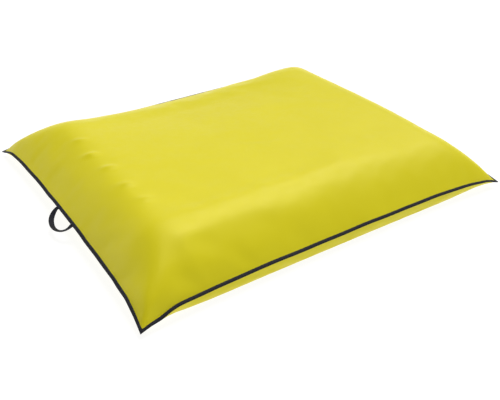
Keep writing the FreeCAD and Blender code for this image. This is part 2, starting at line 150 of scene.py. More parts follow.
def noise_at(x, y, z):
    """Smooth noise from about -1 to 1 that is the same on each run."""
    return noise.noise(Vector((x, y, z)))


def smooth_step(low, high, value):
    """0 under low, 1 over high, and an S curve between them."""
    share = min(1.0, max(0.0, (value - low) / (high - low)))
    return share * share * (3 - 2 * share)


def even_stations(count, edge_share, *extra):
    """Places from -1 to 1. edge_share from 0 to 1 draws them towards the ends."""
    s = np.linspace(-1, 1, count)
    places = (1 - edge_share) * s + edge_share * np.sin(np.pi / 2 * s)
    for place in extra:
        places[np.argmin(abs(places - place))] = place
    return places


ZIP_BOX = [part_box("cover_zip_tape_lower"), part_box("cover_zip_tape_upper")]
ZIP_HALF = ZIP_BOX[0][1].x
SLIT_END = ZIP_HALF / HALF_LENGTH
LINER_ZIP_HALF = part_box("liner_zip_tape_lower")[1].y
LONG_PLACES = even_stations(261, 0.5, -SLIT_END, SLIT_END)
SHORT_PLACES = even_stations(225, 0.5)


def side_places(side):
    return LONG_PLACES if side in LONG_SIDES else SHORT_PLACES


def seam_line(side, places):
    """Height of the line where the cover's plies meet, and the seam's tilt."""
    heights = []
    for inset in FLANGE_PROBES:
        row = [top_height(*plan(side, place * 0.999, inset)) - COVER_PLY for place in places]
        heights.append(smoothed(row, 6))
    low, high = heights
    tilt = float(np.median((high - low) / (FLANGE_PROBES[1] - FLANGE_PROBES[0])))
    return low - tilt * FLANGE_PROBES[0], tilt


SEAMS = {side: seam_line(side, side_places(side)) for side in SIDES}


def seam_height(side, place):
    """Height and tilt of a side's seam at a place along it."""
    heights, tilt = SEAMS[side]
    return float(np.interp(place, side_places(side), heights)), tilt


def seam_at(side, place, inset, lift):
    """A point in the tilted seam plane, a lift over the line where the plies meet."""
    height, tilt = seam_height(side, place)
    x, y = plan(side, place, inset)
    return Vector((x, y, height + tilt * inset + lift))


# ------ the cloth's own shape

WAVE_REACH = 55 * MM
WAVE_ACROSS = 1.6 * MM
WAVE_UP = 2.6 * MM
WAVE_SCALE = 8.5
LIFT_OFF = 30 * MM
LOOP_QUIET = 150 * MM
EDGE_SAG = 5 * MM
# kinks of the bound edge: side, place along it, rise and half width
KINKS = (
    ("left", -1.0, -8 * MM, 60 * MM),
    ("left", 1.0, -12 * MM, 75 * MM),
    ("right", -1.0, -6 * MM, 70 * MM),
    ("left", -0.80, 5 * MM, 26 * MM),
    ("left", -0.70, -3 * MM, 30 * MM),
    ("left", 0.86, 4 * MM, 40 * MM),
    ("front", -0.905, -6 * MM, 30 * MM),
    ("front", -0.82, 4 * MM, 45 * MM),
    ("front", 0.93, 4 * MM, 34 * MM),
    ("right", 0.84, -4 * MM, 40 * MM),
    ("back", -0.88, 4 * MM, 45 * MM),
    ("back", 0.80, -3 * MM, 40 * MM),
)


def settled(point):
    """A point moved with the sag and the slow waves of the bound edge.

    The edge stays still beside the loop, along both zips and at the floor.
    """
    x, y, z = point
    u, v = shares(x, y)
    inside = min((1 - abs(u)) * HALF_LENGTH, (1 - abs(v)) * HALF_WIDTH)
    weight = math.exp(-((max(0.0, inside) / WAVE_REACH) ** 2))
    weight *= smooth_step(0.0, LIFT_OFF, z)
    near_loop = (Vector((x, y)) - Vector((LOOP_HINGE.x, LOOP_HINGE.y))).length
    weight *= smooth_step(0.7 * LOOP_QUIET, 1.3 * LOOP_QUIET, near_loop)
    if y > 0:
        weight *= 1 - (1 - smooth_step(0.98 * ZIP_HALF, 1.15 * ZIP_HALF, abs(x))) * smooth_step(0.5, 0.9, v)
    if x > 0:
        calm = 1 - smooth_step(1.05 * LINER_ZIP_HALF, 1.6 * LINER_ZIP_HALF, abs(y))
        weight *= 1 - calm * smooth_step(0.6, 0.9, u)
    if weight < 0.001:
        return Vector(point)
    place = Vector((x * WAVE_SCALE, y * WAVE_SCALE, 0.0))
    shift = Vector((
        WAVE_ACROSS * noise.noise(place + Vector((0, 0, 11.3))),
        WAVE_ACROSS * noise.noise(place + Vector((0, 0, 27.9))),
        WAVE_UP * noise.noise(place * 0.8 + Vector((0, 0, 4.7))) - EDGE_SAG,
    ))
    for side, kink_place, rise, spread in KINKS:
        off = (Vector((x, y)) - Vector(plan(side, kink_place, 0.0))).length
        shift.z += rise * math.exp(-((off / spread) ** 2))
    return Vector(point) + shift * weight


# five short creases on the left shoulder and two faint ones in the middle of the top:
# x and y of the middle, length, height
CREASES = (
    (-0.572, 0.297, 58 * MM, 6.0 * MM),
    (-0.586, 0.160, 62 * MM, 8.0 * MM),
    (-0.569, 0.013, 62 * MM, 8.0 * MM),
    (-0.573, -0.145, 60 * MM, 7.4 * MM),
    (-0.559, -0.277, 56 * MM, 6.0 * MM),
    (0.010, -0.120, 150 * MM, -2.2 * MM),
    (0.050, -0.150, 120 * MM, 2.0 * MM),
)
CREASE_TURN = math.radians(-33)
CREASE_WIDTH = 16 * MM
# where the beads lie heaped or sunk: centre, half length, half width and height
HEAPS = (
    (-0.170, -0.435, 0.460, 0.045, 9.0 * MM),
    (0.330, -0.370, 0.240, 0.060, 7.0 * MM),
    (-0.430, -0.560, 0.200, 0.050, -7.0 * MM),
    (-0.665, -0.555, 0.085, 0.080, -12.0 * MM),
    (0.560, -0.400, 0.160, 0.120, -7.0 * MM),
    (-0.600, 0.150, 0.070, 0.200, -5.0 * MM),
)


def sculpted(x, y):
    """Height that the lasting creases and the heaped beads add at a plan point."""
    height = 0.0
    for cx, cy, reach, width, rise in HEAPS:
        height += rise * math.exp(-(((x - cx) / reach) ** 4) - ((y - cy) / width) ** 2)
    cos, sin = math.cos(CREASE_TURN), math.sin(CREASE_TURN)
    for cx, cy, length, rise in CREASES:
        dx, dy = x - cx, y - cy
        along = (dx * cos + dy * sin) / (length / 2)
        across = (-dx * sin + dy * cos) / CREASE_WIDTH
        if abs(along) < 2.5 and abs(across) < 3.5:
            height += rise * math.exp(-(along**2) - across**2)
    return height


# ------ mesh helpers


def mesh_object(name, vertices, faces):
    """A smooth-shaded piece from points and faces."""
    mesh = bpy.data.meshes.new(name)
    mesh.from_pydata([tuple(v) for v in vertices], [], faces)
    mesh.validate()
    mesh.polygons.foreach_set("use_smooth", [True] * len(mesh.polygons))
    mesh.update()
    piece = bpy.data.objects.new(name, mesh)
    bpy.context.scene.collection.objects.link(piece)
    return piece


def grid_faces(rows, columns, first=0):
    """Quads between rows of points, whose own count starts at first."""
    faces = []
    for i in range(rows - 1):
        for j in range(columns - 1):
            a = first + i * columns + j
            b = a + columns
            faces.append((a, b, b + 1, a + 1))
    return faces


def grid_piece(name, rows):
    """A sheet through rows of points."""
    return mesh_object(name, [point for row in rows for point in row], grid_faces(len(rows), len(rows[0])))


def apply_modifiers(piece):
    """The piece's mesh with its modifiers worked in."""
    depsgraph = bpy.context.evaluated_depsgraph_get()
    mesh = bpy.data.meshes.new_from_object(piece.evaluated_get(depsgraph))
    piece.modifiers.clear()
    piece.data = mesh
    return piece


def face_out(piece, point_inside):
    """Turn the faces outwards, as seen from a point inside the piece."""
    mesh = piece.data
    votes = sum(p.area * p.normal.dot(p.center - Vector(point_inside)) for p in mesh.polygons)
    if votes < 0:
        mesh.flip_normals()
    return piece


def thicken(piece, thickness):
    """Give a sheet its thickness, inwards from its outer face."""
    ply = piece.modifiers.new("ply", "SOLIDIFY")
    ply.thickness = thickness
    ply.offset = -1.0
    return apply_modifiers(piece)


def join_edges(piece, distance=0.05 * MM, flat_limit=None):
    """Join the points that meet and turn all faces to one side.

    flat_limit is the angle under which neighbouring faces become one.
    """
    work = bmesh.new()
    work.from_mesh(piece.data)
    bmesh.ops.remove_doubles(work, verts=work.verts, dist=distance)
    if flat_limit:
        bmesh.ops.dissolve_limit(work, angle_limit=flat_limit, verts=work.verts, edges=work.edges)
    bmesh.ops.recalc_face_normals(work, faces=work.faces)
    work.to_mesh(piece.data)
    work.free()
    return piece


def swept(sections):
    """Vertices and faces of a closed tube through sections of points."""
    count = len(sections[0])
    vertices = [point for section in sections for point in section]
    last = (len(sections) - 1) * count
    faces = []
    for first in range(0, last, count):
        for j in range(count):
            a, b = first + j, first + (j + 1) % count
            faces.append((a, b, b + count, a + count))
    faces.append(tuple(reversed(range(count))))
    faces.append(tuple(range(last, last + count)))
    return vertices, faces


def ring(centre, side, over, count):
    """Points round an ellipse from its centre and its two half axes."""
    turns = [2 * math.pi * k / count for k in range(count)]
    return [centre + side * math.cos(turn) + over * math.sin(turn) for turn in turns]


class Heap:
    """Many small meshes gathered in one piece."""

    def __init__(self):
        self.vertices = []
        self.faces = []

    def add(self, vertices, faces):
        first = len(self.vertices)
        self.vertices += [tuple(v) for v in vertices]
        self.faces += [tuple(first + i for i in face) for face in faces]

    def piece(self, name):
        return mesh_object(name, self.vertices, self.faces)


def thread_bead(start, end, up, radius, flat=0.6):
    """One stitch: a short rounded bead of thread that dips into the cloth at both ends."""
    along = end - start
    side = along.cross(up).normalized()
    sections = []
    shape = ((0.0, 0.35, -0.7), (0.18, 0.9, 0.0), (0.5, 1.0, 0.25), (0.82, 0.9, 0.0), (1.0, 0.35, -0.7))
    for share, size, rise in shape:
        centre = start + along * share + up * rise * radius * flat
        sections.append(ring(centre, side * radius * size, up * flat * radius * size, 6))
    return swept(sections)


# ------ materials


class Nodes:
    """A small helper that adds and links a material's nodes."""

    def __init__(self, name):
        self.material = bpy.data.materials.new(name)
        self.material.use_nodes = True
        self.tree = self.material.node_tree
        self.shader = self.tree.nodes["Principled BSDF"]
        self.place = self.tree.nodes.new("ShaderNodeTexCoord").outputs["Object"]

    def put(self, socket, value):
        """Link a socket to another, or give it a value."""
        if isinstance(value, bpy.types.NodeSocket):
            self.tree.links.new(value, socket)
        else:
            socket.default_value = value

    def add(self, kind, inputs, **settings):
        node = self.tree.nodes.new("ShaderNode" + kind)
        for name, value in settings.items():
            setattr(node, name, value)
        for name, value in inputs.items():
            self.put(node.inputs[name], value)
        return node

    def noise(self, scale, detail=3.0, roughness=0.5, stretch=None):
        place = self.place
        if stretch:
            place = self.add("Mapping", {"Vector": place, "Scale": stretch}).outputs[0]
        inputs = {"Vector": place, "Scale": scale, "Detail": detail, "Roughness": roughness}
        return self.add("TexNoise", inputs).outputs["Fac"]

    def cells(self, scale):
        inputs = {"Vector": self.place, "Scale": scale}
        return self.add("TexVoronoi", inputs).outputs["Distance"]

    def math(self, operation, first, second=0.5):
        return self.add("Math", {0: first, 1: second}, operation=operation).outputs[0]

    def ramp(self, factor, low, high, start=0.3, end=0.7):
        inputs = {"Value": factor, "From Min": start, "From Max": end, "To Min": low, "To Max": high}
        return self.add("MapRange", inputs).outputs[0]

    def mix(self, factor, first, second):
        node = self.add("Mix", {0: factor, 6: first, 7: second}, data_type="RGBA")
        return node.outputs[2]

    def wave(self, pitch, axis):
        """A sine along one axis, one period for each thread."""
        split = self.add("SeparateXYZ", {0: self.place})
        return self.math("SINE", self.math("MULTIPLY", split.outputs[axis], 2 * math.pi / pitch))

    def weave(self, pitch, along, across):
        """Plain weave: threads over and under in both directions."""
        return self.math("MULTIPLY", self.wave(pitch, along), self.wave(pitch, across))

    def bump(self, height, distance, strength=1.0, below=None):
        inputs = {"Height": height, "Distance": distance, "Strength": strength}
        if below is not None:
            inputs["Normal"] = below
        return self.add("Bump", inputs).outputs[0]

    def finish(self, **inputs):
        for name, value in inputs.items():
            self.put(self.shader.inputs[name.replace("_", " ")], value)
        return self.material


def rgb(red, green, blue):
    return (red, green, blue, 1.0)


def cover_cloth(name, colour, deep, dusty):
    """Coated plain weave: fine threads, soft unevenness and a slight paler rub in scattered patches."""
    n = Nodes(name)
    base = n.mix(n.ramp(n.noise(2.6, 2.0), 0.0, 0.5), rgb(*colour), rgb(*deep))
    base = n.mix(n.ramp(n.noise(520.0, 2.0), 0.0, 0.12), base, rgb(*deep))
    base = n.mix(n.ramp(n.noise(14.0, 4.0, 0.6), 0.0, 0.10), base, rgb(*dusty))
    rough = n.ramp(n.noise(38.0, 3.0), 0.40, 0.50)
    drape = n.bump(n.noise(11.0, 3.0), 1.2 * MM, 0.3)
    slub = n.bump(n.noise(300.0, 2.0, stretch=(0.25, 1.0, 1.0)), 0.06 * MM, 0.5, drape)
    grain = n.bump(n.weave(0.8 * MM, "X", "Y"), 0.08 * MM, 0.5, slub)
    return n.finish(Base_Color=base, Roughness=rough, Normal=grain, Specular_IOR_Level=0.45,
                    Specular_Tint=rgb(1.0, 0.92, 0.35), Sheen_Weight=0.03, Sheen_Roughness=0.45)


def ribbed_tape(name, colour, light, pitch, axis):
    """Grosgrain, webbing or zip tape: ribs across the tape and a paler, rubbed surface."""
    n = Nodes(name)
    base = n.mix(n.ramp(n.noise(180.0, 4.0), 0.0, 0.7), rgb(*colour), rgb(*light))
    worn = n.mix(n.ramp(n.noise(26.0, 3.0), 0.0, 0.35, 0.5, 0.8), base, rgb(*light))
    ribs = n.bump(n.wave(pitch, axis), 0.12 * MM, 0.6)
    grain = n.bump(n.weave(0.5 * pitch, axis, "Z"), 0.06 * MM, 0.5, ribs)
    return n.finish(Base_Color=worn, Roughness=0.7, Normal=grain, Specular_IOR_Level=0.16,
                    Sheen_Weight=0.05, Sheen_Roughness=0.4)


def sewing_thread(name, colour, light):
    """Twisted polyester thread with a soft gloss."""
    n = Nodes(name)
    base = n.mix(n.ramp(n.noise(900.0, 2.0), 0.0, 1.0), rgb(*colour), rgb(*light))
    twist = n.bump(n.noise(1500.0, 1.0, stretch=(1.0, 0.35, 1.0)), 0.05 * MM, 0.6)
    return n.finish(Base_Color=base, Roughness=0.48, Normal=twist, Sheen_Weight=0.1)


def moulded_nylon(name, colour, light):
    """The zip coil's monofilament: smooth, a little glossy, with draw lines."""
    n = Nodes(name)
    base = n.mix(n.ramp(n.noise(240.0, 2.0), 0.0, 0.6), rgb(*colour), rgb(*light))
    lines = n.bump(n.noise(1200.0, 2.0), 0.03 * MM, 0.4)
    return n.finish(Base_Color=base, Roughness=0.36, Normal=lines, Specular_IOR_Level=0.5)


def lacquered_zinc(name, colour, worn):
    """Die-cast zip metal under black lacquer that is rubbed here and there."""
    n = Nodes(name)
    rubbed = n.ramp(n.noise(420.0, 5.0, 0.7), 0.0, 1.0, 0.60, 0.74)
    base = n.mix(rubbed, rgb(*colour), rgb(*worn))
    rough = n.ramp(n.noise(160.0, 3.0), 0.28, 0.42)
    cast = n.bump(n.noise(700.0, 3.0), 0.04 * MM, 0.4)
    return n.finish(Base_Color=base, Roughness=rough, Normal=cast, Metallic=n.ramp(rubbed, 0.2, 0.9, 0, 1))


def woven_label(name, colour, shade):
    """Satin-woven label cloth, blank."""
    n = Nodes(name)
    base = n.mix(n.ramp(n.noise(60.0, 3.0), 0.0, 0.5), rgb(*colour), rgb(*shade))
    grain = n.bump(n.weave(0.4 * MM, "X", "Z"), 0.05 * MM, 0.6)
    return n.finish(Base_Color=base, Roughness=0.5, Normal=grain, Sheen_Weight=0.1)


def spunbond(name, colour, shade):
    """The liner's thin non-woven: matted fibres and faint bonding points."""
    n = Nodes(name)
    base = n.mix(n.ramp(n.noise(45.0, 5.0, 0.65), 0.0, 1.0), rgb(*colour), rgb(*shade))
    fibres = n.bump(n.noise(700.0, 4.0, 0.7, stretch=(0.4, 1.0, 1.0)), 0.10 * MM, 0.6)
    bonds = n.bump(n.cells(420.0), 0.12 * MM, 0.5, fibres)
    return n.finish(Base_Color=base, Roughness=0.78, Normal=bonds, Specular_IOR_Level=0.25)


def foam_beads(name, colour, shade):
    """Loose foam beads of 4 to 6 mm, packed close, with painted shade darkening the gaps where the beads
    meet.
    """
    n = Nodes(name)
    cell = n.cells(190.0)
    # painted shade: the colour goes from white at each bead's middle to grey in the gaps between beads
    base = n.mix(n.ramp(cell, 0.0, 1.0, 0.3, 0.75), rgb(*colour), rgb(*shade))
    balls = n.bump(n.math("SUBTRACT", 1.0, cell), 2.2 * MM, 1.0)
    return n.finish(Base_Color=base, Roughness=0.66, Normal=balls, Specular_IOR_Level=0.3)


BLACK, BLACK_WORN = (0.008, 0.009, 0.014), (0.024, 0.026, 0.036)
WHITE, WHITE_SHADE = (0.80, 0.80, 0.78), (0.62, 0.62, 0.60)
YELLOW, YELLOW_DEEP, YELLOW_DUSTY = (0.790, 0.700, 0.014), (0.735, 0.645, 0.010), (0.80, 0.715, 0.030)
MATERIALS = {
    "cover": cover_cloth("cover_cloth", YELLOW, YELLOW_DEEP, YELLOW_DUSTY),
    "binding_x": ribbed_tape("binding_tape_x", BLACK, BLACK_WORN, 1.3 * MM, "X"),
    "binding_y": ribbed_tape("binding_tape_y", BLACK, BLACK_WORN, 1.3 * MM, "Y"),
    "webbing": ribbed_tape("loop_webbing", BLACK, BLACK_WORN, 1.8 * MM, "Y"),
    "thread": sewing_thread("black_thread", (0.016, 0.017, 0.024), (0.05, 0.053, 0.07)),
    "label": woven_label("label_cloth", (0.80, 0.80, 0.77), (0.70, 0.70, 0.67)),
    "zip_tape": ribbed_tape("cover_zip_tape", BLACK, (0.03, 0.032, 0.04), 1.0 * MM, "X"),
    "zip_coil": moulded_nylon("cover_zip_coil", (0.018, 0.018, 0.022), (0.05, 0.05, 0.058)),
    "zip_metal": lacquered_zinc("zip_lacquer", (0.022, 0.022, 0.026), (0.36, 0.35, 0.33)),
    "liner": spunbond("liner_cloth", WHITE, WHITE_SHADE),
    "liner_tape": ribbed_tape("liner_zip_tape", WHITE, WHITE_SHADE, 1.0 * MM, "Y"),
    "liner_coil": moulded_nylon("liner_zip_coil", (0.82, 0.82, 0.80), (0.70, 0.70, 0.68)),
    # the beads' second colour is painted shade for the gaps between them
    "beads": foam_beads("foam_beads", (0.90, 0.90, 0.90), (0.55, 0.55, 0.55)),
}


def dress(piece, material, slot, *nodes, body="bag"):
    """Give a piece its material, the CAD nodes it stands for and its body. The slot argument is not used."""
    piece.data.materials.clear()
    piece.data.materials.append(MATERIALS[material])
    if nodes:
        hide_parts(*nodes)
    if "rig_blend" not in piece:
        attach(piece, body)
    return piece


# ------ the upper panels

LINER_EDGE, LINER_ROOT, LINER_PLY, LINER_FLOOR = 17 * MM, 22 * MM, 0.6 * MM, 1.5 * MM
LINER_CLOTH = 0.4 * MM
LINER_SLIT_END = LINER_ZIP_HALF / HALF_WIDTH
FILL_EDGE, FILL_FLOOR = 27 * MM, 2.6 * MM
INNER_LONG = even_stations(141, 0.5)
INNER_SHORT = even_stations(125, 0.5, -LINER_SLIT_END, LINER_SLIT_END)

FLANGE_INSETS = (1.5, 5.0, 8.5, 12.0)
FIRST_STEP, STEP_GROWTH, LAST_STEP = 3.5 * MM, 1.12, 10.5 * MM


def grid_stations(half):
    """Places across the bag: close rows at the seams and wider ones between."""
    insets = [inset * MM for inset in FLANGE_INSETS]
    step = FIRST_STEP
    while insets[-1] + step < half - 0.7 * LAST_STEP:
        insets.append(insets[-1] + step)
        step = min(LAST_STEP, step * STEP_GROWTH)
    near = [1 - (inset - insets[0]) / (half - insets[0]) for inset in insets]
    return np.array([-place for place in near] + [0.0] + near[::-1])


US = grid_stations(HALF_LENGTH)
VS = grid_stations(HALF_WIDTH)


def filled_form():
    """Points of the cover's outer face on the grid of stations."""
    points = np.zeros((len(US), len(VS), 3))
    for i, u in enumerate(US):
        for j, v in enumerate(VS):
            x = u * (HALF_LENGTH - CLOTH_EDGE - bow(v, BOW_SHORT))
            y = v * (HALF_WIDTH - CLOTH_EDGE - bow(u, BOW_LONG))
            points[i, j] = x, y, top_height(x * 0.9999, y * 0.9999)
    return points


def inset_grid():
    """Each grid point's distance inside the nearest long and short side."""
    across = (1 - abs(US))[:, None] * HALF_LENGTH + CLOTH_EDGE + np.zeros(len(VS))
    along = (1 - abs(VS))[None, :] * HALF_WIDTH + CLOTH_EDGE + np.zeros((len(US), 1))
    return across, along


PUCKER_HEIGHT = 2.2 * MM
PUCKER_SCALE = 24.0
PUCKER_REACH = 65 * MM
PUCKER_START = 30 * MM
PUCKER_RISE = (13 * MM, 42 * MM)
SWELL_HEIGHT = 1.6 * MM
SWELL_RISE = (20 * MM, 90 * MM)


def puckers(points):
    """Height of the soft gathers that run in from the seam, and of the beads' slow swells."""
    across, along = inset_grid()
    height = np.zeros(across.shape)
    for i in range(len(US)):
        for j in range(len(VS)):
            x, y, _ = points[i, j]
            for inset, place, seed in (
                (across[i, j], y, 9.7 if US[i] > 0 else 19.4),
                (along[i, j], x, 48.5 if VS[j] > 0 else 58.2),
            ):
                fade = math.exp(-max(0.0, inset - PUCKER_START) / PUCKER_REACH)
                fade *= smooth_step(*PUCKER_RISE, inset)
                gather = noise_at(place * PUCKER_SCALE, inset * 5, seed)
                height[i, j] += PUCKER_HEIGHT * fade * gather
            calm = smooth_step(*SWELL_RISE, min(across[i, j], along[i, j]))
            height[i, j] += SWELL_HEIGHT * calm * noise_at(x * 5, y * 5, 3.3)
            height[i, j] += 0.5 * SWELL_HEIGHT * calm * noise_at(x * 13, y * 13, 7.1)
    return height


CLOTH_FRAMES = 12
CLOTH_GOAL = 0.025
SEWN_INSET = 13.5 * MM
SLACK_AT_SEAM = 0.007
SLACK_INSIDE = 0.001
SLACK_MIDDLE, SLACK_SPREAD = 50 * MM, 90 * MM
CLOTH_SETTINGS = {
    "quality": 5, "mass": 0.08, "air_damping": 5, "bending_stiffness": 2.0,
    "tension_stiffness": 40, "compression_stiffness": 20, "shear_stiffness": 10,
    "vertex_group_mass": "held", "vertex_group_shrink": "slack",
    "shrink_min": -SLACK_INSIDE, "shrink_max": -SLACK_AT_SEAM,
}
MOST_MOVE = 5 * MM
FREE_START, FREE_RISE = 13 * MM, 12 * MM


def simulated(points):
    """The cloth eased by Blender's cloth solver: sewn at the seam, carried by the beads."""
    sheet = grid_piece("cloth_run", points)
    across, along = inset_grid()
    nearest = np.minimum(across, along).ravel()
    held = sheet.vertex_groups.new(name="held")
    slack = sheet.vertex_groups.new(name="slack")
    for k, inset in enumerate(nearest):
        held.add([k], 1.0 if inset < SEWN_INSET else CLOTH_GOAL, "REPLACE")
        slack.add([k], math.exp(-(((inset - SLACK_MIDDLE) / SLACK_SPREAD) ** 2)), "REPLACE")
    cloth = sheet.modifiers.new("cloth", "CLOTH")
    cloth.collision_settings.use_collision = False
    settings = cloth.settings
    for name, value in CLOTH_SETTINGS.items():
        setattr(settings, name, value)
    settings.effector_weights.gravity = 0
    for step in range(1, CLOTH_FRAMES + 1):
        bpy.context.scene.frame_set(step)
    apply_modifiers(sheet)
    eased = np.zeros(points.size)
    sheet.data.vertices.foreach_get("co", eased)
    bpy.data.objects.remove(sheet)
    bpy.context.scene.frame_set(1)
    return eased.reshape(points.shape)


def softened(field, rounds):
    """A grid of numbers or points with its grid-sized ripples taken out."""
    for _ in range(rounds):
        field[1:-1] = (field[:-2] + 2 * field[1:-1] + field[2:]) / 4
        field[:, 1:-1] = (field[:, :-2] + 2 * field[:, 1:-1] + field[:, 2:]) / 4
    return field


def cloth_form():
    """The cover's outer face at rest, and how far it lies off the plain filled form."""
    plain = filled_form()
    across, along = inset_grid()
    free = np.clip((np.minimum(across, along) - FREE_START) / FREE_RISE, 0, 1)[:, :, None]
    rounded = softened(plain.copy(), 3)
    plain = plain + (rounded - plain) * free
    start = plain.copy()
    start[:, :, 2] += puckers(plain)
    eased = simulated(start)
    move = softened(np.clip(eased - plain, -MOST_MOVE, MOST_MOVE), 2) * free
    for i in range(len(US)):
        for j in range(len(VS)):
            move[i, j, 2] += sculpted(plain[i, j, 0], plain[i, j, 1])
    return plain + move, move


COVER_FORM, COVER_MOVE = cloth_form()


def move_at(x, y):
    """The cover's move off the plain form, read between the grid's points."""
    u, v = shares(x, y)
    i = min(len(US) - 2, max(0, int(np.searchsorted(US, u)) - 1))
    j = min(len(VS) - 2, max(0, int(np.searchsorted(VS, v)) - 1))
    a = min(1.0, max(0.0, (u - US[i]) / (US[i + 1] - US[i])))
    b = min(1.0, max(0.0, (v - VS[j]) / (VS[j + 1] - VS[j])))
    low = COVER_MOVE[i, j] * (1 - b) + COVER_MOVE[i, j + 1] * b
    high = COVER_MOVE[i + 1, j] * (1 - b) + COVER_MOVE[i + 1, j + 1] * b
    return Vector(low * (1 - a) + high * a)


def cover_top():
    """The filled upper panel, from the cloth's edge inside the binding."""
    piece = grid_piece("cover_top", [[settled(point) for point in row] for row in COVER_FORM])
    finer = piece.modifiers.new("finer", "SUBSURF")
    finer.levels = 1
    face_out(piece, (0, 0, 0))
    thicken(piece, CLOTH)
    return dress(piece, "cover", "cover_fabric", "cover_top_panel")


def upper_form(node, edge, us, vs):
    """Grid points of an inner layer's upper face, moved as the cover's cloth moves."""
    rows = []
    for u in us:
        row = []
        for v in vs:
            x = u * (HALF_LENGTH - edge - bow(v, BOW_SHORT))
            y = v * (HALF_WIDTH - edge - bow(u, BOW_LONG))
            if abs(u) == 1:
                height = seam_at("left" if u < 0 else "right", v, edge, 0.0).z
            elif abs(v) == 1:
                height = seam_at("front" if v < 0 else "back", u, edge, 0.0).z
            else:
                height = top_height(x * 0.9995, y * 0.9995, node)
            row.append(Vector((x, y, height)) + move_at(x, y))
        rows.append(row)
    return rows


def liner_top():
    """The liner's upper face, just under the cover's."""
    rows = upper_form("liner_top_panel", LINER_EDGE, INNER_LONG, INNER_SHORT)
    piece = grid_piece("liner_top", [[settled(point) for point in row] for row in rows])
    face_out(piece, (0, 0, 0))
    thicken(piece, LINER_CLOTH)
    return dress(piece, "liner", "liner_fabric", "liner_top_panel")


# ------ the lower panels

SLIT_HALF = 5.2 * MM
FLANK_PUCKER = 1.8 * MM
DIMPLE = 1.2 * MM


def flank_point(side, place, root, lift, floor, angle):
    """A point on the flank's quarter ellipse: at the seam at 0, at the floor at 90 degrees."""
    run = FLANK_RUN + FLANK_RUN_AT_TIP * abs(place) ** FLANK_TIP_POWER
    run += FLANK_TUCK.get(side, 0.0) * (1 - abs(place) ** FLANK_TUCK_POWER)
    top = seam_at(side, place, root, lift).z
    inset = root + run * (1 - math.cos(angle))
    x, y = plan(side, place, inset)
    gather = noise_at(x * PUCKER_SCALE, y * PUCKER_SCALE, 2.5 * angle + 70.0)
    quiet = 1.0
    if side == "back":
        quiet = smooth_step(0.95 * ZIP_HALF, 1.3 * ZIP_HALF, abs(x))
    elif side == "right":
        quiet = smooth_step(1.05 * LINER_ZIP_HALF, 1.4 * LINER_ZIP_HALF, abs(y))
    x, y = plan(side, place, inset - FLANK_PUCKER * gather * math.sin(2 * angle) * quiet)
    return Vector((x, y, floor + (top - floor) * (1 - math.sin(angle))))


def flank_angles(side, root, lift, floor, zip_middle):
    """Angles of the flank's rows, two of them on the edges of the zip's slit."""
    top = seam_at(side, 0.0, root, lift).z
    edges = []
    for height in (zip_middle + SLIT_HALF, zip_middle - SLIT_HALF):
        edges.append(math.asin(1 - (height - floor) / (top - floor)))
    rows = np.concatenate([
        np.linspace(0, edges[0], 8)[:-1],
        np.linspace(edges[0], edges[1], 3)[:-1],
        np.linspace(edges[1], math.pi / 2, 12),
    ])
    return rows, edges


def lower_panel(name, edge, root, ply, floor, places=None, slit_side=None, slit_place=0.0, cap=()):
    """A flange, a rounded flank and a flat underside, with the zip's slit in one flank.

    cap is the grid of an upper face that closes the form.
    """
    zip_middle = (ZIP_BOX[0][1].z + ZIP_BOX[1][0].z) / 2
    angles, slit = flank_angles(slit_side or "back", root, -ply, floor, zip_middle)
    long_places, short_places = places or (LONG_PLACES, SHORT_PLACES)
    vertices, faces = [], []
    floor_edges = {}
    for side in SIDES:
        stations = long_places if side in LONG_SIDES else short_places
        rows = [[seam_at(side, place, edge, -ply) for place in stations]] if root > edge else []
        flange_rows = len(rows)
        for angle in angles:
            rows.append([flank_point(side, place, root, -ply, floor, angle) for place in stations])
        floor_edges[side] = rows[-1]
        first = len(vertices)
        vertices += [point for row in rows for point in row]
        for face in grid_faces(len(rows), len(stations), first):
            row, column = divmod(face[0] - first, len(stations))
            in_slit = row >= flange_rows and slit[0] - 1e-6 < angles[row - flange_rows] < slit[1] - 1e-6
            middle = (stations[column] + stations[column + 1]) / 2
            if not (side == slit_side and in_slit and abs(middle) < slit_place):
                faces.append(face)
    faces += floor_faces(vertices, floor_edges, long_places, short_places)
    if cap:
        faces += grid_faces(len(cap), len(cap[0]), len(vertices))
        vertices += [point for row in cap for point in row]
    piece = mesh_object(name, [settled(v) for v in vertices], faces)
    join_edges(piece)
    return face_out(piece, (0, 0, 30 * MM))


def floor_faces(vertices, edges, long_places, short_places):
    """The flat underside: a grid blended between its four edges, with faint dimples."""
    first = len(vertices)
    front, back, left, right = (edges[side] for side in ("front", "back", "left", "right"))
    for i, u in enumerate((long_places + 1) / 2):
        for j, v in enumerate((short_places + 1) / 2):
            along = front[i] * (1 - v) + back[i] * v
            across = left[j] * (1 - u) + right[j] * u
            near = left[0] * (1 - u) + right[0] * u
            far = left[-1] * (1 - u) + right[-1] * u
            point = along + across - near * (1 - v) - far * v
            dimple = max(0.0, noise_at(point.x * 16, point.y * 16, 5.5))
            rim = min(u, 1 - u, v, 1 - v)
            point.z += DIMPLE * dimple * smooth_step(0.0, 0.04, rim)
            vertices.append(point)
    return grid_faces(len(long_places), len(short_places), first)


def cover_bottom():
    """The cover's lower panel, with the slit for its zip in the rear flank."""
    piece = lower_panel(
        "cover_bottom", CLOTH_EDGE, BINDING_WIDTH, COVER_PLY, 0.0, slit_side="back", slit_place=SLIT_END
    )
    thicken(piece, CLOTH)
    return dress(piece, "cover", "cover_fabric", "cover_bottom_panel")


def liner_bottom():
    """The liner's lower panel, with the slit for its zip in the right flank."""
    places = INNER_LONG, INNER_SHORT
    piece = lower_panel(
        "liner_bottom", LINER_EDGE, LINER_ROOT, LINER_PLY, LINER_FLOOR, places, "right", LINER_SLIT_END
    )
    thicken(piece, LINER_CLOTH)
    return dress(piece, "liner", "liner_fabric", "liner_bottom_panel")


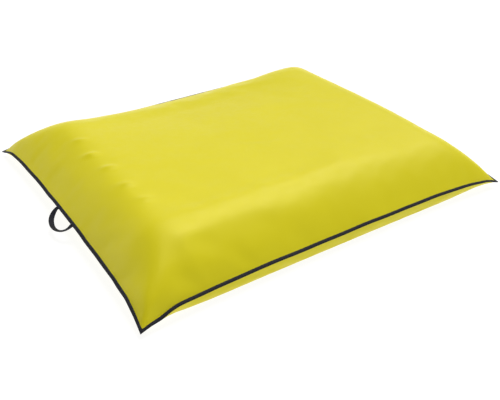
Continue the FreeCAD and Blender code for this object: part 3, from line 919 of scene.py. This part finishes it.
def bead_fill():
    """The beads as one closed form, lumpy as the liner lets them be."""
    places = INNER_LONG, INNER_SHORT
    cap = upper_form("bead_fill", FILL_EDGE, *places)
    piece = lower_panel("bead_fill_form", FILL_EDGE, FILL_EDGE, 0.0, FILL_FLOOR, places, cap=cap)
    return dress(piece, "beads", "beads", "bead_fill")


# ------ the binding

TAPE_OUTER = COVER_PLY + BINDING_PLY
WELD = 0.001 * MM
# half of the folded tape's section: inset and lift, from the fold to the cut edge and back
TAPE_FOLD = (
    (0.0, 0.0), (0.02, 0.48), (0.08, 0.84), (0.25, 1.03), (0.58, 1.05), (0.93, 1.03), (1.0, 0.92),
)
TAPE_BACK = ((1.0, 0.56), (0.25, 0.54), (0.10, 0.32), (0.08, 0.0))


def tape_section():
    """The closed section of the folded tape as insets and lifts."""
    half = TAPE_FOLD + TAPE_BACK
    upper = [(inset * BINDING_WIDTH, lift * TAPE_OUTER) for inset, lift in half]
    lower = [(inset, -lift) for inset, lift in reversed(upper[1:-1])]
    return upper + lower


def binding(side):
    """One length of tape, folded round the seam's edge."""
    places = side_places(side)
    sections = []
    for place in places:
        sections.append([settled(seam_at(side, place, inset, lift)) for inset, lift in tape_section()])
    piece = mesh_object(f"binding_tape_{side}", *swept(sections))
    join_edges(piece, WELD)
    return dress(piece, "binding_x" if side in LONG_SIDES else "binding_y", "binding", f"binding_{side}")


STITCH_PITCH, STITCH_LENGTH = 3.6 * MM, 2.9 * MM
STITCH_RADIUS = 0.34 * MM
STITCH_INSET = 9.6 * MM
STITCH_END_GAP = 14 * MM


def stitch_runs(length):
    """Where each stitch starts and ends along a seam, from the seam's middle."""
    count = int(length / STITCH_PITCH)
    middles = [(k - (count - 1) / 2) * STITCH_PITCH for k in range(count)]
    return [(middle - STITCH_LENGTH / 2, middle + STITCH_LENGTH / 2) for middle in middles]


def binding_stitches(side):
    """The lockstitch that holds the tape, seen on its upper and lower faces."""
    stitches = Heap()
    half = HALF_LENGTH if side in LONG_SIDES else HALF_WIDTH
    for face in (1, -1):
        lift = face * (TAPE_OUTER * 1.04 + 0.1 * MM)
        for ends in stitch_runs(2 * (half - STITCH_END_GAP)):
            points = [settled(seam_at(side, end / half, STITCH_INSET, lift)) for end in ends]
            stitches.add(*thread_bead(*points, Vector((0, 0, face)), STITCH_RADIUS))
    return dress(stitches.piece(f"binding_stitches_{side}"), "thread", "thread")


# ------ the carry loop

LOOP_HALF_SPAN, LOOP_REACH, LOOP_DROOP = 70 * MM, 44 * MM, 30 * MM
LOOP_WIDTH, LOOP_PLY = 20 * MM, 1.6 * MM
LOOP_ROLL = math.radians(20)
ANCHOR_END = 12.2 * MM
RIB_PITCH, RIB_HEIGHT = 1.8 * MM, 0.09 * MM
BEND_START, BEND_END = 1.0 * MM, -14 * MM
SEWN_STATIONS, ARC_STATIONS = 24, 380
# the webbing's section as shares of its half width and half ply, with rounded selvages
BAND_HALF = (
    (-0.95, 0.92), (-0.88, 1.06), (-0.80, 1.0), (-0.3, 1.0), (0.3, 1.0),
    (0.80, 1.0), (0.88, 1.06), (0.95, 0.92), (1.0, 0.4), (1.0, -0.4),
)
BAND_SECTION = BAND_HALF + tuple((-wide, -high) for wide, high in BAND_HALF)
SEAM_TILT = SEAMS["left"][1]
INWARD = Vector((1.0, 0.0, SEAM_TILT)).normalized()


def loop_frame(turn):
    """Centre, width direction and direction of thickness of the band at a turn of its arc."""
    half = Vector((0, LOOP_HALF_SPAN, 0))
    reach = Vector((-LOOP_REACH, 0, -LOOP_DROOP))
    centre = LOOP_HINGE + half * math.cos(turn) + reach * math.sin(turn)
    along = (reach * math.cos(turn) - half * math.sin(turn)).normalized()
    roll = LOOP_ROLL * math.sin(turn) ** 2
    outward = along.cross(Vector((0, 0, 1))).normalized()
    upward = outward.cross(along).normalized()
    across = outward * math.cos(roll) + upward * math.sin(roll)
    return centre, across, along.cross(across).normalized()


def loop_frames():
    """The band's frames from one sewn end round to the other."""
    frames = []
    for side, turn in ((1, 0.0), (-1, math.pi)):
        _, across, thick = loop_frame(turn)
        end = LOOP_HINGE + Vector((0, side * LOOP_HALF_SPAN, 0))
        sewn = []
        for share in np.linspace(1, 0, SEWN_STATIONS, endpoint=False):
            sewn.append((end + INWARD * ANCHOR_END * share, across, thick))
        frames.append(sewn)
    arc = [loop_frame(turn) for turn in np.linspace(0, math.pi, ARC_STATIONS)]
    return frames[0] + arc + frames[1][::-1]


def carry_loop():
    """The webbing loop with both sewn ends: it bends at the seam and swings about it."""
    frames = loop_frames()
    sections = []
    run = 0.0
    for i, (centre, across, thick) in enumerate(frames):
        run += (centre - frames[i - 1][0]).length if i else 0.0
        rib = RIB_HEIGHT * math.cos(2 * math.pi * run / RIB_PITCH)
        drift = 0.25 * MM * noise_at(run * 60, 0, 1.7)
        points = []
        for width_share, ply_share in BAND_SECTION:
            wide = width_share * LOOP_WIDTH / 2 + drift
            high = ply_share * (LOOP_PLY / 2 - RIB_HEIGHT + (rib if abs(width_share) < 0.96 else 0.0))
            points.append(centre + across * wide + thick * high)
        sections.append(points)
    piece = mesh_object("carry_loop_band", *swept(sections))
    join_edges(piece, WELD)
    start = LOOP_HINGE + Vector((BEND_START, 0, 0))
    end = LOOP_HINGE + Vector((BEND_END, 0, 0))
    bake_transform(piece, "bag", "carry_loop", start=start, end=end)
    return dress(piece, "webbing", "webbing", "carry_loop", "carry_loop_anchors")


def tube(path, radius, sides=6):
    """A round tube of thread or wire along a path of points."""
    sections = []
    for i, point in enumerate(path):
        along = (path[min(i + 1, len(path) - 1)] - path[max(i - 1, 0)]).normalized()
        up = Vector((0, 0, 1)) if abs(along.z) < 0.9 else Vector((0, 1, 0))
        side = along.cross(up).normalized()
        sections.append(ring(point, side * radius, side.cross(along) * radius, sides))
    return swept(sections)


TACK_PLACES = (0.2, 0.7)
ANCHOR_LENGTH = 13.6 * MM
TACK_LENGTH, TACK_WIDTH, TACK_STEP = 2.4 * MM, 18 * MM, 0.55 * MM
TACK_RADIUS = 0.26 * MM


def bar_tacks():
    """Close zigzags of thread across both sewn ends, on their under side."""
    tacks = Heap()
    down = Vector((INWARD.z, 0, -INWARD.x))
    for side in (1, -1):
        for share in TACK_PLACES:
            corner = LOOP_HINGE + Vector((0, side * LOOP_HALF_SPAN, 0)) + down * (LOOP_PLY / 2 + 0.2 * MM)
            corner += INWARD * share * ANCHOR_LENGTH
            path = []
            for k in range(int(TACK_WIDTH / TACK_STEP) + 1):
                across = Vector((0, k * TACK_STEP - TACK_WIDTH / 2, 0))
                path.append(corner + across + INWARD * TACK_LENGTH * (0.06 if k % 2 else 0.94))
            tacks.add(*tube(path, TACK_RADIUS))
    return dress(tacks.piece("loop_bar_tack_threads"), "thread", "thread", "carry_loop_bar_tacks")


# ------ the care label

LABEL_CURL, LABEL_WARP, LABEL_PLY = 3.2 * MM, 1.1 * MM, 0.3 * MM
LABEL_ROWS, LABEL_COLUMNS = 25, 17


def care_label():
    """A blank folded strip that hangs from the rear seam and curls a little."""
    low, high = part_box("care_label")
    width, drop = high.x - low.x, high.z - low.z
    rows = []
    for i in range(LABEL_ROWS):
        down = i / (LABEL_ROWS - 1)
        row = []
        for j in range(LABEL_COLUMNS):
            across = j / (LABEL_COLUMNS - 1) - 0.5
            curl = LABEL_CURL * down**2 + LABEL_WARP * down * math.sin(2.4 * across + 0.6)
            x = (low.x + high.x) / 2 + width * across * (1 - 0.015 * down)
            row.append(Vector((x, high.y + curl, high.z - drop * down)))
        rows.append(row)
    piece = grid_piece("care_label_strip", rows)
    face_out(piece, (0, 0, 30 * MM))
    thicken(piece, LABEL_PLY)
    return dress(piece, "label", "label", "care_label")


# ------ the zips

COIL_PITCH, WIRE = 1.7 * MM, 0.33 * MM
COIL_RISE, COIL_HALF_WIDTH = 0.65 * MM, 0.87 * MM
COIL_STEPS = 9


class Zip:
    """Where one zip lies: its middle, its length, and its directions."""

    def __init__(self, owner, along, outward):
        self.owner = owner
        self.along = Vector(along)
        self.coils = {name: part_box(f"{owner}_zip_coil_{name}") for name in ("upper", "lower")}
        middles = {name: (low + high) / 2 for name, (low, high) in self.coils.items()}
        self.middle = (middles["upper"] + middles["lower"]) / 2
        self.up = (middles["upper"] - middles["lower"]).normalized()
        self.out = self.along.cross(self.up)
        if self.out.dot(Vector(outward)) < 0:
            self.out = -self.out
        low, high = self.coils["upper"]
        self.half = abs((high - low).dot(self.along)) / 2
        self.offset = (middles["upper"] - self.middle).length

    def at(self, along, up, out):
        """A point at distances along the zip, up across it and out of it."""
        return self.middle + self.along * along + self.up * up + self.out * out


COVER_ZIP = Zip("cover", (1, 0, 0), (0, 1, 0))
LINER_ZIP = Zip("liner", (0, -1, 0), (1, 0, 0))
TAPE_WIDTH, TAPE_PLY, TAPE_GAP, STOP_LENGTH = 12 * MM, 0.7 * MM, 0.8 * MM, 3 * MM
TAPE_DEPTH, TAPE_STATIONS = 1.06 * MM, 121
# a zip tape's section as shares of its width and ply, with thicker selvages
ZIP_TAPE_SECTION = (
    (0.0, 0.5), (0.03, 1.0), (0.09, 1.0), (0.13, 0.82), (0.5, 0.8), (0.9, 0.82), (0.97, 0.9),
    (1.0, 0.5), (0.97, 0.1), (0.9, 0.06), (0.5, 0.06), (0.13, 0.06), (0.09, 0.0), (0.03, 0.0),
)


def zip_coil(zip_, name, material, slot):
    """One coil of monofilament, wound along the tape's edge."""
    sign = 1 if name == "upper" else -1
    lag = 0.0 if sign > 0 else COIL_PITCH / 4
    turns = int(2 * zip_.half / COIL_PITCH) - 1
    start = -turns * COIL_PITCH / 2
    path = []
    for k in range(turns * COIL_STEPS + 1):
        turn = 2 * math.pi * k / COIL_STEPS
        along = start + COIL_PITCH * k / COIL_STEPS + lag
        across = sign * (zip_.offset - COIL_HALF_WIDTH * math.cos(turn))
        path.append(zip_.at(along, across, COIL_RISE * math.sin(turn)))
    piece = mesh_object(f"{zip_.owner}_zip_coil_wire_{name}", *tube(path, WIRE, 5))
    return dress(piece, material, slot, f"{zip_.owner}_zip_coil_{name}")


def zip_tape(zip_, name, material, slot):
    """One woven tape, a little thicker along both selvages."""
    sign = 1 if name == "upper" else -1
    length = 2 * (zip_.half + STOP_LENGTH)
    sections = []
    stations = np.linspace(-length / 2, length / 2, TAPE_STATIONS)
    for along in stations:
        ripple = 0.12 * MM * noise_at(along * 40, sign * 3.0, 8.8)
        points = []
        for width_share, ply_share in ZIP_TAPE_SECTION:
            up = sign * (TAPE_GAP + width_share * TAPE_WIDTH)
            out = ripple * width_share - TAPE_PLY * (1 - ply_share) - TAPE_DEPTH
            points.append(zip_.at(along, up, out))
        sections.append(points)
    piece = mesh_object(f"{zip_.owner}_zip_woven_tape_{name}", *swept(sections))
    join_edges(piece, WELD)
    return dress(piece, material, slot, f"{zip_.owner}_zip_tape_{name}")


SLIT_STITCH_GAP, SLIT_STITCH_PROUD = 2.6 * MM, 0.15 * MM


def slit_stitches():
    """The two seams that hold the cover's zip in its slit."""
    stitches = Heap()
    for sign in (1, -1):
        height = COVER_ZIP.middle.z + sign * (SLIT_HALF + SLIT_STITCH_GAP)
        for ends in stitch_runs(2 * ZIP_HALF):
            points = [flank_skin(end / HALF_LENGTH, height, SLIT_STITCH_PROUD) for end in ends]
            stitches.add(*thread_bead(*points, COVER_ZIP.out, STITCH_RADIUS))
    return dress(stitches.piece("cover_zip_seam_stitches"), "thread", "thread")


def flank_skin(place, height, proud):
    """A point on the rear flank at a height, a little proud of the cloth."""
    top = seam_at("back", place, BINDING_WIDTH, -COVER_PLY).z
    angle = math.asin(min(1.0, max(0.0, 1 - height / top)))
    point = flank_point("back", place, BINDING_WIDTH, -COVER_PLY, 0.0, angle)
    return point + COVER_ZIP.out * proud


CAST_EDGE = 0.22 * MM


def softened_copy(node, name, material, slot, body):
    """A CAD node's own form with its edges rounded as cast or moulded edges are."""
    source = frame["nodes"][node].data
    corners = [v.co.copy() for v in source.vertices]
    piece = mesh_object(name, corners, [tuple(p.vertices) for p in source.polygons])
    join_edges(piece, 2 * WELD, math.radians(1))
    bevel = piece.modifiers.new("bevel", "BEVEL")
    bevel.width = CAST_EDGE
    bevel.segments = 3
    bevel.limit_method = "ANGLE"
    bevel.angle_limit = math.radians(35)
    apply_modifiers(piece)
    piece.data.polygons.foreach_set("use_smooth", [True] * len(piece.data.polygons))
    piece.data.set_sharp_from_angle(angle=math.radians(40))
    return dress(piece, material, slot, node, body=body)


def zips():
    """Both zips, the cover's in the rear flank and the liner's in the right one."""
    for zip_, tape, tape_slot, coil, coil_slot in (
        (COVER_ZIP, "zip_tape", "zip_tape", "zip_coil", "zip_coil"),
        (LINER_ZIP, "liner_tape", "liner_zip", "liner_coil", "liner_zip_coil"),
    ):
        for name in ("upper", "lower"):
            zip_tape(zip_, name, tape, tape_slot)
            zip_coil(zip_, name, coil, coil_slot)
    slit_stitches()
    for node, name, material, slot, body in (
        ("cover_zip_stops", "cover_zip_stop_clips", "zip_metal", "zip_metal", "bag"),
        ("liner_zip_stops", "liner_zip_stop_clips", "liner_coil", "liner_zip_coil", "bag"),
        ("cover_zip_slider", "cover_zip_slider_cast", "zip_metal", "zip_metal", "cover_zip_slider"),
        ("liner_zip_slider", "liner_zip_slider_cast", "zip_metal", "zip_metal", "liner_zip_slider"),
        ("cover_zip_pull", "cover_zip_pull_tab", "zip_metal", "zip_metal", "cover_zip_pull"),
    ):
        softened_copy(node, name, material, slot, body)


# ------ floor, light, camera


FLOOR_SIZE, FLOOR_DROP = 400, 0.5 * MM
# brightness of the world from the horizon up, by the height of the direction
HORIZON = (("From Min", 0.22), ("From Max", 0.28), ("To Min", 1.0), ("To Max", 0.04))
KEY_DIRECTION, KEY_STRENGTH, KEY_SPREAD = (0.39, 0.26, 0.88), 3.15, 42


def stage():
    """A pale floor, one wide lamp, and a world that is white at the horizon and dark above."""
    scene = bpy.context.scene
    scene.view_settings.view_transform = "Standard"
    bpy.ops.mesh.primitive_plane_add(size=FLOOR_SIZE, location=(0, 0, -FLOOR_DROP))
    floor = bpy.context.object
    floor.name = "floor"
    n = Nodes("floor_paint")
    paint = n.finish(Base_Color=rgb(0.15, 0.15, 0.15), Roughness=0.9, Emission_Color=rgb(1, 1, 1),
                     Emission_Strength=0.92)
    floor.data.materials.append(paint)
    world = bpy.data.worlds.new("studio")
    world.use_nodes = True
    sky = world.node_tree
    place = sky.nodes.new("ShaderNodeTexCoord").outputs["Generated"]
    split = sky.nodes.new("ShaderNodeSeparateXYZ")
    sky.links.new(place, split.inputs[0])
    fade = sky.nodes.new("ShaderNodeMapRange")
    sky.links.new(split.outputs["Z"], fade.inputs["Value"])
    for name, value in HORIZON:
        fade.inputs[name].default_value = value
    background = sky.nodes["Background"]
    background.inputs["Color"].default_value = rgb(1, 1, 1)
    sky.links.new(fade.outputs[0], background.inputs["Strength"])
    scene.world = world
    softbox("key", KEY_DIRECTION, KEY_STRENGTH, KEY_SPREAD)


def softbox(name, direction, strength, spread):
    """A distant lamp as wide as a large softbox, from a direction over the bag."""
    light = bpy.data.lights.new(name, "SUN")
    light.energy = strength
    light.angle = math.radians(spread)
    lamp = bpy.data.objects.new(name, light)
    lamp.location = Vector(direction) * 3
    lamp.rotation_euler = Vector(direction).to_track_quat("Z", "Y").to_euler()
    bpy.context.scene.collection.objects.link(lamp)


CAMERA_YAW, CAMERA_PITCH = math.radians(33.40), math.radians(32.47)
CAMERA_DISTANCE = 2.778
CAMERA_TARGET = Vector((-0.0950, -0.2166, 0.0))
LENS, SENSOR = 50.61, 36.0


def camera():
    """The view from over the loop's side and the front."""
    level = math.cos(CAMERA_PITCH)
    forward = Vector((math.sin(CAMERA_YAW) * level, math.cos(CAMERA_YAW) * level, -math.sin(CAMERA_PITCH)))
    data = bpy.data.cameras.new("camera")
    data.lens = LENS
    data.sensor_width = SENSOR
    eye = bpy.data.objects.new("camera", data)
    eye.location = CAMERA_TARGET - forward * CAMERA_DISTANCE
    eye.rotation_euler = forward.to_track_quat("-Z", "Y").to_euler()
    bpy.context.scene.collection.objects.link(eye)
    bpy.context.scene.camera = eye


camera()
stage()
cover_top()
cover_bottom()
for side in SIDES:
    binding(side)
    binding_stitches(side)
carry_loop()
bar_tacks()
care_label()
zips()
liner_top()
liner_bottom()
bead_fill()
